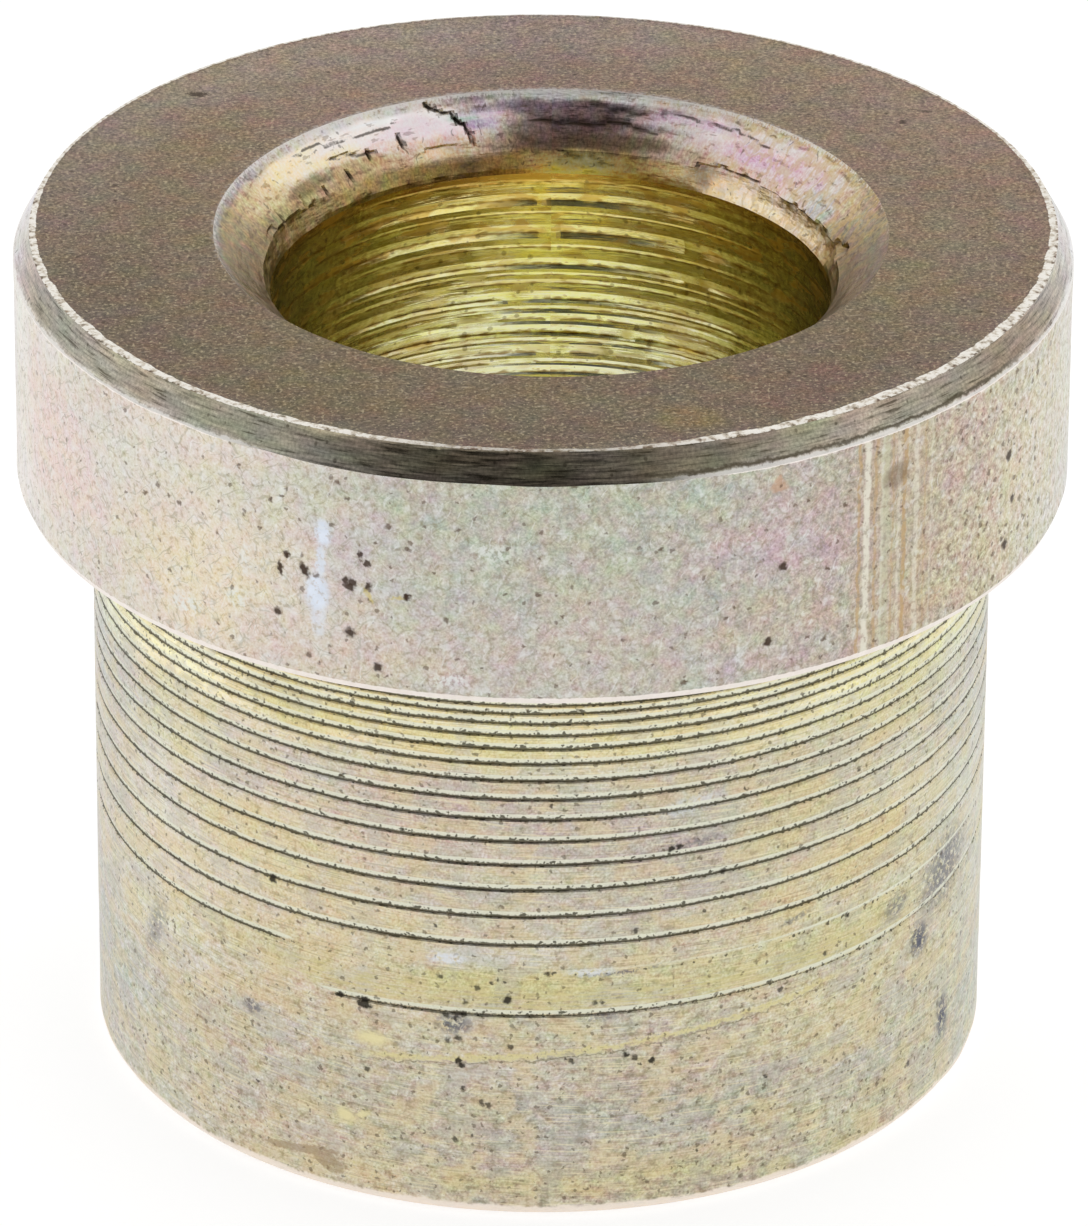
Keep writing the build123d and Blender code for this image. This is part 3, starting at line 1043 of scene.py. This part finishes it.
def collar_plating():
    """Pale iridescent plating: coloured mottles, hairlines, pits, a chalky run and upright scrapes."""
    paint = Paint("collar_plating", COLLAR)
    ragged = paint.shaken(0.15, 0.14)
    loose = paint.shaken(0.3, 0.5)
    grain = paint.noise(0.07)
    mottle = paint.noise(0.42, 2)
    crumbs = paint.noise(0.2, 2, 0.7)
    paint.tints(0.7, 0.13)
    paint.tints(0.22, 0.07)
    right = ramp(paint.across, 2, 14, 0.40, 0.85)
    paint.grain(crumbs, right)
    paint.grain(mottle, 0.32)
    paint.grain(grain, 0.36)
    paint.lay(ramp(crumbs, 0.40, 0.30), 0xA0927A, 0.34)
    # hairlines and a broken crackle
    crackle = both(paint.cracks(0.75, 0.05, loose), ramp(mottle, 0.50, 0.62))
    rising = paint.scratches(0.8, 0.06, 35, 0.73, loose)
    falling = paint.scratches(0.6, 0.05, -50, 0.73, loose)
    paint.lay(either(crackle, either(rising, falling)), OLIVE_HAIR, 0.38)
    paint.lay(paint.scratches(0.5, 0.08, 68, 0.76, loose), CHALK, 0.35)
    # scrapes
    slip = paint.noise(0.5, 2)
    across = raised(slip, 0.18, maths("SUBTRACT", paint.across, 0.09))
    worn = ramp(crumbs, 0.32, 0.50, 0.45, 1)
    paint.lay(both(paint.bars([(40.4, 1.25, 0.22)], across), worn), 0xC0AA84)
    for tint, rows in SCRAPES.items():
        paint.lay(both(paint.bars(rows, across), worn), tint)
    smudge = paint.patches([(40.4, 21.25, 0.42, 0.32, 20, 1)], ragged)
    paint.lay(both(smudge, ramp(crumbs, 0.32, 0.56, 0.4, 1)), 0x705C48, 0.6)
    peach = paint.patches([(25.5, 21.88, 0.24, 0.16, 0, 0.7), (25.5, 22.06, 0.11, 0.14, 0, 0.7)], ragged)
    paint.lay(peach, 0xC49E82)
    # a pale blue run and chalky flecks
    crumbled = ramp(crumbs, 0.30, 0.48, 0.5, 1)
    run = [
        (-23.3, 20.60, 0.22, 0.36, 0, 0.95), (-23.6, 19.75, 0.13, 0.5, 0, 0.8),
        (-24, 18.85, 0.32, 0.55, 0, 0.95), (-23.9, 18.1, 0.22, 0.5, 0, 0.6),
    ]
    paint.lay(both(paint.patches(run, ragged), crumbled), 0xDEE6F2)
    flecks = [
        (-40.6, 17.4, 0.5, 0.22, 10, 0.7), (-32.6, 19.3, 0.14, 0.5, 0, 0.5), (-33.8, 18.1, 0.3, 0.3, 0, 0.6),
        (-9.5, 16.9, 0.5, 0.24, 0, 0.6), (-5, 20.6, 0.6, 0.3, 12, 0.5),
    ]
    crumbling = ramp(crumbs, 0.44, 0.56)
    paint.lay(both(paint.patches(flecks, loose, 0.7), crumbling), 0xE6EAE6)
    paint.lay(ramp(mottle, 0.62, 0.72), CHALK, 0.28)
    # pits
    crowd = band(paint.across, 11.4, 17.6, 1.5)
    few = paint.pits(0.42, 0.42, 0.16, ragged)
    many = both(paint.pits(0.34, 0.5, 0.30, ragged), crowd)
    paint.lay(either(few, many), PIT_BROWN, 0.62)
    paint.lay(paint.dots(COLLAR_SHALLOW, ragged, 0.5), PIT_BROWN, 0.75)
    gold = [(-18.2, 19.02, 0.05, 0.24, 32, 0.9), (-15.2, 19.08, 0.2, 0.04, 10, 0.8)]
    paint.lay(paint.patches(gold, ragged, 0.6), 0xCEBE7A, 0.75)
    tall = [
        (-28.4, 19.32, 0.075, 0.2, 4, 0.95), (-25.5, 19.42, 0.1, 0.22, 28, 0.95),
        (-20.4, 19.2, 0.16, 0.1, -12, 0.9),
    ]
    paint.lay(paint.patches(tall, ragged), STAIN)
    paint.lay(paint.dots(COLLAR_DEEP, ragged, 0.45), STAIN, 0.92)
    # painted highlights, partly worn edges: the corner below the top bevel and the seat bevel, which faces
    # the floor
    edge = ramp(raised(crumbs, 0.5, paint.attribute("bright")), 0.85, 1.10)
    paint.lay(edge, 0xFAF2EC, 0.85)
    return paint.finish(ramp(mottle, 0.3, 0.7, 0.34, 0.5), (mottle, 0.010))


SHANK_DEEP = {
    0.09: [
        (-10, 4.62), (-9.6, 4.48), (11, 4.80), (14.4, 4.56), (-25.7, 6.02), (16.6, 10.78), (17.6, 10.84),
    ],
    0.12: [(-22.7, 5.88), (-21.9, 5.88), (-22.3, 5.99), (-3.8, 6.55), (-35.5, 8.9)],
}
SHANK_SHALLOW = {
    0.05: [
        (-5.9, 7.02), (-5.1, 7.12), (-4.3, 7.06), (1.9, 7.36), (-9.4, 3.82), (-8.3, 2.37), (12.9, 4.5),
        (3.5, 4.77), (8, 6.44), (-30.2, 9.6), (5.4, 9.9), (26.4, 12.2), (-17.5, 11.3), (33.5, 9.2),
        (-41, 12), (21, 8.8), (-13, 8.6), (44, 11.6), (-25, 12.6), (1.5, 12.3), (30, 3.4), (-38, 2.6),
        (48, 5.2), (20.5, 1.6),
    ],
    0.08: [
        (-7.6, 6.86), (1.2, 7.32), (-11.6, 5.95), (-10.4, 5.9), (-9.4, 6.02), (-9.1, 6.38), (-10, 5.3),
        (-11.3, 5.2), (-3.4, 5.14), (-7, 3.40), (-6.2, 3.33), (-10.4, 2.24), (-21.9, 3.94), (12.2, 4.7),
        (4.2, 4.72), (23.5, 9.89), (7.1, 6.42), (38.9, 6.53), (55.6, 1.75), (32, 5.9), (-12.4, 7.1),
        (42.5, 7.4), (12, 8.5),
    ],
}


def shank_plating():
    """Yellower plating over the turned grooves, brushed round the part, with a smeared band below them."""
    paint = Paint("shank_plating", SHANK)
    ragged = paint.shaken(0.15, 0.14)
    brushed = paint.noise(0.09, 2, 0.6, paint.drawn(9))
    grain = paint.noise(0.075)
    long = paint.drawn(1.35)
    mottle = paint.noise(0.24, 2, 0.65, long)
    below = ramp(paint.height, 9.5, 6)
    paint.tints(0.5, 0.11, where=long)
    paint.tints(0.17, 0.08, where=long)
    paint.grain(mottle, ramp(paint.height, 9.5, 5, 0.42, 0.75))
    paint.grain(brushed, 0.20)
    paint.grain(grain, 0.50)
    blotch = paint.noise(1, 3, 0.6, paint.drawn(1.3))
    paint.lay(ramp(blotch, 0.50, 0.64), 0xDAC692, 0.34)
    paint.lay(ramp(blotch, 0.48, 0.34), 0xBAB6AE, 0.34)
    paint.lay(ramp(mottle, 0.40, 0.30), 0x968C6C, 0.30)
    level, rising = paint.scratches(1.6, 0.05, 0, 0.68), paint.scratches(0.7, 0.05, 38, 0.72, ragged)
    paint.lay(either(level, rising), 0x8E8668, 0.30)
    paint.lay(paint.scratches(1.2, 0.06, -3, 0.68), 0xEEE4BE, 0.4)
    # the smeared yellow-green band, the slanting ledge below it, and a painted shadow line under the ledge
    wobble = raised(mottle, 0.34, paint.height)
    fine = ramp(paint.noise(0.075, 2, 0.6, paint.drawn(11)), 0.40, 0.62, 0.1, 0.7)
    front = band(paint.across, -7.5, 11, 2.5)
    smear = both(band(wobble, 6.34, 7.06, 0.14), fine, front)
    paint.lay(smear, 0xD0C68C, 0.8)
    slope = raised(paint.across, -0.1, wobble)
    reach = band(paint.across, -4.6, 8.5, 0.9)
    step = both(band(slope, 4.99, 5.15, 0.05), reach, ramp(grain, 0.32, 0.50, 0.5, 1))
    paint.lay(step, 0xDAD096, 0.7)
    under = both(band(slope, 4.91, 4.95, 0.03), reach, ramp(mottle, 0.36, 0.50))
    paint.lay(under, 0x70684A, 0.75)
    # blue-grey smudges
    smudges = [
        (64.6, 2.3, 0.34, 0.62, 6, 1), (57.4, 5.4, 0.4, 0.46, 24, 1), (64, 6.9, 1.2, 0.9, 20, 0.75),
        (52, 6.9, 0.5, 0.3, 24, 0.6), (-38.8, 4.83, 0.3, 0.2, 0, 0.7), (-58, 5.6, 0.35, 0.9, -28, 0.5),
        (-10.6, 5.72, 0.42, 0.3, 0, 0.8), (8, 6, 0.5, 0.12, 8, 0.5), (11, 7.30, 0.9, 0.05, 4, 0.8),
        (19, 10.85, 0.9, 0.16, 6, 0.5), (34, 7.9, 0.5, 0.08, 14, 0.6),
    ]
    broken = ramp(paint.noise(0.19, 3, 0.75, ragged), 0.36, 0.54)
    paint.lay(both(paint.patches(smudges, ragged, 0.7), broken), 0x5C5E6C)
    milky = [(-11.5, 7.65, 0.5, 0.16, 0, 0.8), (6.5, 7.35, 0.6, 0.12, 0, 0.7), (19, 12, 0.9, 0.25, 8, 0.5)]
    paint.lay(both(paint.patches(milky, ragged), broken), 0xDEE2E8)
    # grooves: a dark foot with beads of dirt and painted shade in the crease, and a pale grey-green upper
    # flank that is a painted highlight
    line = paint.attribute("line")
    wall = both(ramp(paint.attribute("flank"), 0.10, 0.30), ramp(line, 0.02, 0.10))
    paint.lay(wall, 0xE6E8D6, 0.75)
    bead = ramp(paint.noise(0.17, 1, 0.6), 0.58, 0.72, 0, 0.5)
    uneven_edge = raised(grain, 0.6, maths("ADD", line, bead))
    dirt_and_crease_shade = both(ramp(uneven_edge, 0.86, 1.10), ramp(line, 0.05, 0.25))
    paint.lay(dirt_and_crease_shade, 0x464232, 0.86)
    # pits and the listed spots
    few = paint.pits(0.33, 0.48, 0.2, ragged)
    above = ramp(paint.height, 10, 13)
    many = both(paint.pits(0.24, 0.28, 0.24, ragged), either(below, above))
    paint.lay(either(few, many), 0x584C38, 0.60)
    paint.lay(paint.dots(SHANK_SHALLOW, ragged, 0.5), SOOT, 0.8)
    paint.lay(paint.dots(SHANK_DEEP, ragged, 0.45), SOOT, 0.95)
    # raised flakes and a torn patch above the foot
    flakes = [
        (-21.3, 4.92, 0.46, 0.21, 4, 1), (-24.9, 2.42, 0.26, 0.2, -30, 1), (-22.6, 2.55, 0.2, 0.1, 24, 0.9),
    ]
    flakes = paint.patches(flakes, ragged, 0.6)
    paint.lay(flakes, 0xE8DEAC, 0.85)
    torn = paint.patches([(-31.5, 1.02, 1.2, 0.13, 8, 1), (-27.4, 0.85, 0.5, 0.24, -24, 1)], ragged, 0.12)
    paint.lay(both(torn, ramp(mottle, 0.30, 0.48, 0.4, 1)), 0x9E8668, 0.6)
    # painted highlight, partly a worn edge, along the foot's lower edge and bevel
    edge = ramp(raised(mottle, 0.5, paint.attribute("bright")), 0.60, 0.95)
    paint.lay(edge, 0xF8ECE0, 0.85)
    return paint.finish(ramp(mottle, 0.3, 0.7, 0.32, 0.48), (mottle, 0.010), (flakes, 0.035))


# Nicks in the top face: x, y, half width, half height, strength
FACE_NICKS = [
    (-9.4, 8.1, 0.30, 0.18, 0.8), (9.65, 6.6, 0.12, 0.16, 0.7), (10.3, 7.3, 0.16, 0.08, 0.6),
    (-11.4, 2.2, 0.1, 0.1, 0.6),
]


def face_plating():
    """Brown matt top face with a dark and light grain, redder and greener in patches."""
    paint = Paint("face_plating")
    grain = paint.noise(0.10, 2, 0.75)
    patch = paint.noise(0.5, 2)
    paint.tints(0.9, 0.14)
    paint.grain(patch, 0.4)
    paint.grain(paint.noise(0.22, 3, 0.8), 0.5)
    paint.grain(ramp(grain, 0.30, 0.70), 0.30)
    light = ramp(paint.noise(0.11, 1), 0.62, 0.74)
    paint.lay(light, 0xD6C6A4, 0.5)
    paint.lay(paint.scratches(0.5, 0.06, 20, 0.77), 0xCEC0AA, 0.4)
    paint.lay(paint.pits(0.42, 0.30, 0.16), 0x42342A, 0.55)
    for x, y, half_width, half_height, strength in FACE_NICKS:
        local = paint.moved(paint.place, (x, y, 0), (half_width, half_height, 1000))
        nick = raised(grain, 1, vector("DISTANCE", local, (0, 0, 0), output="Value"))
        paint.lay(ramp(nick, 1.7, 1.1), STAIN, strength)
    # worn rims: the outer one, on the burr, is a painted highlight as well as wear, bright at the sides; the
    # inner one faint
    worn = raised(paint.noise(0.16, 2, 0.7), 0.8, paint.attribute("bright"))
    outside = ramp(vector("LENGTH", paint.place, output="Value"), 25.2, 25.9)
    sides = ramp(maths("ABSOLUTE", split(paint.place, 0)), 1, 5.5, 0.6, 1)
    beads = paint.noise(0.23, 2, 0.65)
    lumps = raised(beads, 1.3, paint.attribute("bright"))
    outer = both(ramp(lumps, 1.26, 1.54), outside, sides)
    cream = paint.mix(ramp(beads, 0.38, 0.58), (*linear(0xDED4C4), 1), (*linear(0xFEFAF2), 1))
    paint.colour = paint.mix(outer, paint.colour, cream)
    inner = both(ramp(worn, 1, 1.35), ramp(outside, 0.6, 0.4))
    paint.lay(inner, 0xCCC6C4, 0.55)
    return paint.finish(ramp(patch, 0.3, 0.7, 0.5, 0.62), (grain, 0.0025))


def bevel_plating():
    """Bevel with streaks of the cutting tool round it. Its tone is a painted reflection, dark at the front.
    """
    paint = Paint("bevel_plating", COLLAR)
    streaks = paint.noise(0.075, 2, 0.6, paint.drawn(14))
    grain = paint.noise(0.085, 2, 0.65)
    paint.tints(0.4, 0.10, where=paint.drawn(3))
    paint.grain(streaks, 0.85)
    paint.grain(grain, 0.55)
    scores = both(ramp(streaks, 0.40, 0.32), ramp(paint.noise(0.9, 1), 0.42, 0.58))
    paint.lay(scores, 0x4C4432, 0.55)
    paint.lay(paint.pits(0.3, 0.25, 0.2), 0x40382A, 0.55)
    # a dark score above a beaded bright line at the lower edge; the bright line is a painted highlight, left
    # out at the front
    end = LENGTH - TOP_BEVEL[1]
    wavy = raised(paint.noise(0.3, 3, 0.7), 0.16, maths("SUBTRACT", paint.height, 0.08))
    right = band(paint.across, 3, 15, 1.5)
    score = both(band(wavy, end + 0.09, end + 0.17, 0.03), right)
    paint.lay(score, 0x544C3C, 0.85)
    sides = ramp(maths("ABSOLUTE", maths("ADD", paint.across, 2)), 4.5, 6.5)
    bright = both(ramp(wavy, end + 0.08, end + 0.04), sides)
    paint.lay(bright, 0xEAE7E2, 0.75)
    return paint.finish(ramp(streaks, 0.3, 0.7, 0.26, 0.38), (streaks, 0.008))


def lip_plating():
    """Torn, folded plating: fine streaks round the lip, veins at the right, and painted shadow in the tears
    and under the torn sheets.
    """
    paint = Paint("lip_plating", COUNTERSINK)
    flow = paint.noise(0.13, 2, 0.6, paint.drawn(4))
    grain = paint.noise(0.08, 2, 0.65)
    loose = paint.shaken(0.6, 0.3)
    paint.tints(0.35, 0.22)
    paint.grain(flow, 0.65)
    paint.grain(grain, 0.75)
    right = band(paint.across, 14.5, 22.5, 1.5)
    veins = both(paint.cracks(0.55, 0.11, loose), right)
    paint.lay(veins, 0xCEAC68, 0.42)
    paint.lay(ramp(flow, 0.38, 0.30), 0x705C4A, 0.4)
    paint.lay(paint.pits(0.3, 0.3, 0.22, loose), 0x503E34, 0.55)
    # painted shadow in the tears and under the torn sheets, broken up by noise
    gaps = ramp(paint.noise(1.1, 3, 0.6), 0.30, 0.56, 0.42, 1)
    dark = raised(grain, 0.5, both(paint.attribute("line"), gaps))
    paint.lay(ramp(dark, 0.66, 1.05), 0x42362A, 0.8)
    rim = ramp(raised(grain, 1.6, paint.attribute("bright")), 1.15, 1.60)
    paint.lay(rim, 0xE2DED8, 0.7)
    return paint.finish(ramp(flow, 0.3, 0.7, 0.28, 0.44), (flow, 0.014))


def bore_plating():
    """Golden plating over the boring tool's ledges, broken across them, with painted shade at their feet."""
    paint = Paint("bore_plating", BORE)
    streaks = paint.noise(0.075, 2, 0.6, paint.drawn(11))
    grain = paint.noise(0.08, 2, 0.7)
    patch = paint.noise(0.4, 2, 0.6, paint.drawn(3))
    paint.tints(0.35, 0.12, where=paint.drawn(4))
    sideways = maths("ABSOLUTE", split(paint.place, 0))
    paint.grain(streaks, ramp(sideways, 3, 6, 0.65, 0.2))
    paint.grain(paint.noise(0.17, 2, 0.7), ramp(sideways, 2.5, 5.5, 0.35, 0.9))
    amber = both(ramp(patch, 0.52, 0.64), ramp(paint.height, 18.5, 20, 0.4, 1))
    paint.lay(amber, 0xE6B854, 0.6)
    chips = ramp(paint.noise(0.2, 2, 0.7, paint.drawn(2.4)), 0.36, 0.28)
    paint.lay(chips, 0xB48E3C, 0.45)
    # painted shade along the foot of each ledge
    feet = raised(paint.noise(0.17, 1, where=paint.drawn(2.5)), 1, paint.attribute("line"))
    paint.lay(ramp(feet, 1.15, 1.5), 0x96722C, 0.75)
    paint.lay(paint.pits(0.36, 0.4, 0.24), 0x76643A, 0.5)
    return paint.finish(ramp(patch, 0.3, 0.7, 0.18, 0.30), (streaks, 0.010))


def foot_plating():
    """The sawn foot face: flat grey-yellow plating."""
    paint = Paint("foot_plating")
    grain = paint.noise(0.1, 2, 0.7)
    paint.tints(0.6, 0.3)
    paint.grain(grain, 0.6)
    return paint.finish(0.46, (grain, 0.006))


worn = make_skin()
makers = {
    "collar": collar_plating, "shank": shank_plating, "face": face_plating, "bevel": bevel_plating,
    "lip": lip_plating, "bore": bore_plating, "foot": foot_plating,
}
for zone in ZONES:
    worn.data.materials.append(makers[zone]())
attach(worn, "root")
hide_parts("bushing")


# Camera
VIEW_ELEVATION = math.radians(27.29)
VIEW_ROLL = math.radians(0.39)
VIEW_DISTANCE = 0.2755
VIEW_LENS = 300.95
TARGET = Vector((0.00008, 0, 0.01172))
FLOOR_HALF = 3
WALL_TURN = math.radians(-15)
WALL_TILT = math.radians(36)
WALL_LIGHT = 0.08
PAPER = (0.5, 0.5, 0.5, 1)
PAPER_GLOW = 0.72


def make_camera():
    data = bpy.data.cameras.new("camera")
    data.lens = VIEW_LENS
    data.sensor_width = 36
    data.clip_end = 20
    turn = Matrix.Rotation(math.pi / 2 - VIEW_ELEVATION, 4, "X") @ Matrix.Rotation(VIEW_ROLL, 4, "Z")
    camera = added("camera", data)
    camera.matrix_world = Matrix.Translation(TARGET + turn @ Vector((0, 0, VIEW_DISTANCE))) @ turn
    bpy.context.scene.camera = camera


# Floor and light
def make_floor():
    """White paper that keeps the shadow. The camera and the metal see an even glow added to it."""
    mesh = bpy.data.meshes.new("floor")
    corners = [(x * FLOOR_HALF, y * FLOOR_HALF, 0) for x, y in ((-1, -1), (1, -1), (1, 1), (-1, 1))]
    mesh.from_pydata(corners, [], [(0, 1, 2, 3)])
    added("floor", mesh)
    paper = bpy.data.materials.new("paper")
    paper.use_nodes = True
    tree = paper.node_tree
    ray = add(tree, "LightPath").node.outputs
    seen = either(ray["Is Camera Ray"], ray["Is Glossy Ray"], ray["Is Transmission Ray"])
    glow = add(tree, "Emission", {"Strength": both(seen, PAPER_GLOW)})
    diffuse = add(tree, "BsdfDiffuse", {"Color": PAPER})
    put(add(tree, "AddShader", {0: diffuse, 1: glow}), tree.nodes["Material Output"].inputs["Surface"])
    mesh.materials.append(paper)


def make_sky():
    """White at the level of the floor, greyer overhead, and a dark wall behind the camera."""
    world = bpy.data.worlds.new("studio")
    world.use_nodes = True
    bpy.context.scene.world = world
    sky = world.node_tree.nodes["Background"]
    sky.inputs["Color"].default_value = (1, 1, 1, 1)
    place = add(world.node_tree, "TexCoord", output="Generated")
    overhead = ramp(split(place, 2), 0.1, 0.9, 1, 0.8, "LINEAR")
    wall_way = Matrix.Rotation(WALL_TURN, 4, "Z") @ Matrix.Rotation(-WALL_TILT, 4, "X") @ Vector((0, -1, 0))
    wall = ramp(vector("DOT_PRODUCT", place, wall_way, output="Value"), 0.76, 0.94, 1, WALL_LIGHT)
    put(both(overhead, wall), sky.inputs["Strength"])


make_camera()
make_floor()
make_sky()
bpy.context.scene.view_settings.view_transform = "Standard"
